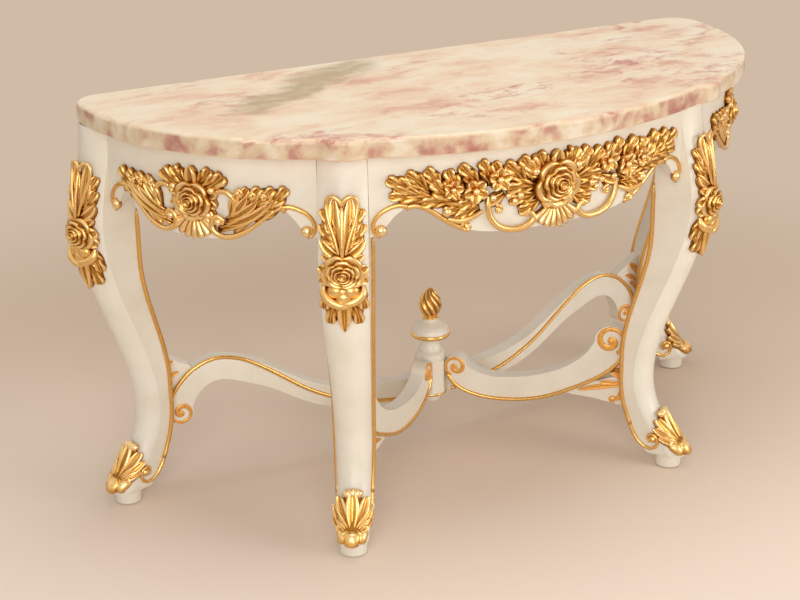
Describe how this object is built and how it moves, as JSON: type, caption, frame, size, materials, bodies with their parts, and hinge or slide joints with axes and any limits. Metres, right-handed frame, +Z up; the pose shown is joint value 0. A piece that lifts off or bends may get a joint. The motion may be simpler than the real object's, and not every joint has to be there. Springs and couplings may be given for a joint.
{
  "type": "pier table",
  "caption": "Half-round pier table: marble top on a cream painted frame with cabriole legs, gilt carved aprons and knees, and a scrolled stretcher with a finial.",
  "frame": {"origin": "on the floor, under the middle of the table's bounding box", "axes": "+X to the right seen from the front, +Y towards the wall, +Z up"},
  "size_m": [1.4976, 0.6099, 0.82],
  "materials": {
    "marble": "polished cream and rose marble with red-brown veins",
    "cream_paint": "hardwood under cream satin paint",
    "gilt": "carved hardwood under burnished gold leaf",
    "bare_wood": "plain sawn hardwood",
    "pad": "translucent soft bumper",
    "glide": "moulded nylon"
  },
  "bodies": {
    "frame": {"apron_front": "cream_paint", "apron_left": "cream_paint", "apron_right": "cream_paint", "leg_front_left": "cream_paint", "leg_front_right": "cream_paint", "leg_rear_left": "cream_paint", "leg_rear_right": "cream_paint", "arm_front_left": "cream_paint", "arm_front_right": "cream_paint", "arm_rear_left": "cream_paint", "arm_rear_right": "cream_paint", "centre_post": "cream_paint", "finial_urn": "cream_paint", "knee_carving_front_left": "gilt", "knee_carving_front_right": "gilt", "knee_carving_rear_left": "gilt", "knee_carving_rear_right": "gilt", "foot_carving_front_left": "gilt", "foot_carving_front_right": "gilt", "foot_carving_rear_left": "gilt", "foot_carving_rear_right": "gilt", "carving_front": "gilt", "carving_left": "gilt", "carving_right": "gilt", "leaf_front_left": "gilt", "leaf_front_right": "gilt", "leaf_rear_left": "gilt", "leaf_rear_right": "gilt", "flame_finial": "gilt", "rear_rail": "bare_wood", "bearer_left": "bare_wood", "bearer_right": "bare_wood", "tenon_pegs": "bare_wood", "bearer_dowels": "bare_wood", "arm_dowels": "bare_wood", "top_pads": "pad", "foot_glides": "glide"},
    "top": {"marble_top": "marble"}
  },
  "joints": [
    {"name": "top_lift", "type": "slide", "parent": "frame", "child": "top", "axis": [0, 0, 1], "range_m": [0, 0.08]}
  ]
}
